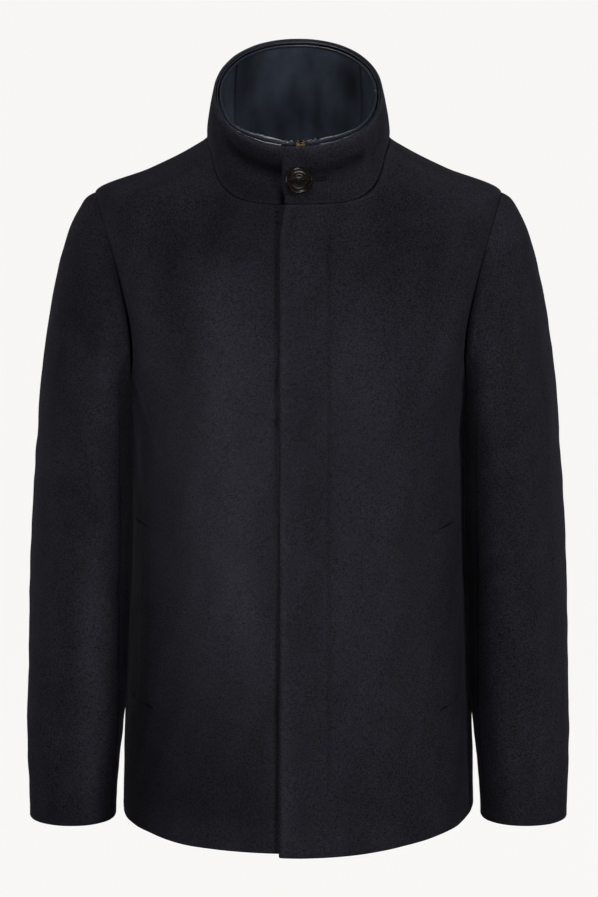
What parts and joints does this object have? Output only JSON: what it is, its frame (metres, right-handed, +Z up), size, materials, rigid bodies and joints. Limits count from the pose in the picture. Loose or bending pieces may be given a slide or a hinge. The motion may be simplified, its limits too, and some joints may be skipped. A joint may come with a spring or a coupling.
{
  "type": "short coat",
  "caption": "Short wool coat with a hidden front, a standing collar closed by a horn button, set-in sleeves and slanted welt pockets, filled out as worn.",
  "frame": {"origin": "middle of the neck opening, at the height where the shoulder seams meet the collar, where the wearer's shoulders hold the coat", "axes": "+Z up, +X towards the wearer's left, -Y towards the front"},
  "size_m": [0.5848, 0.2896, 0.8404],
  "materials": {
    "navy_wool": "matte milled wool",
    "collar_lining": "smooth woven navy cloth",
    "edge_piping": "satin tape and cord",
    "zip_tape": "woven tape",
    "brass": "tumbled brass",
    "horn": "polished dark horn"
  },
  "bodies": {
    "coat": {"front_left": "navy_wool", "front_right": "navy_wool", "back": "navy_wool", "upper_sleeve_left": "navy_wool", "upper_sleeve_right": "navy_wool", "under_sleeve_left": "navy_wool", "under_sleeve_right": "navy_wool", "collar": "navy_wool", "inner_collar_back": "collar_lining", "inner_collar_left": "collar_lining", "inner_collar_right": "collar_lining", "collar_piping": "edge_piping", "collar_binding": "edge_piping", "binding_end_left": "edge_piping", "binding_end_right": "edge_piping", "pocket_welt_left": "navy_wool", "pocket_welt_right": "navy_wool", "collar_button": "horn", "zip_tape_left": "zip_tape", "zip_tape_right": "zip_tape", "zip_slider": "brass"},
    "zip_pull": {"zip_pull": "brass"}
  },
  "joints": [
    {"name": "zip_pull_swing", "type": "hinge", "parent": "coat", "child": "zip_pull", "pos_m": [0.00248, -0.07426, 0.00033], "axis": [0.9999, 0.0143, 0], "range_deg": [-8, 150]}
  ]
}
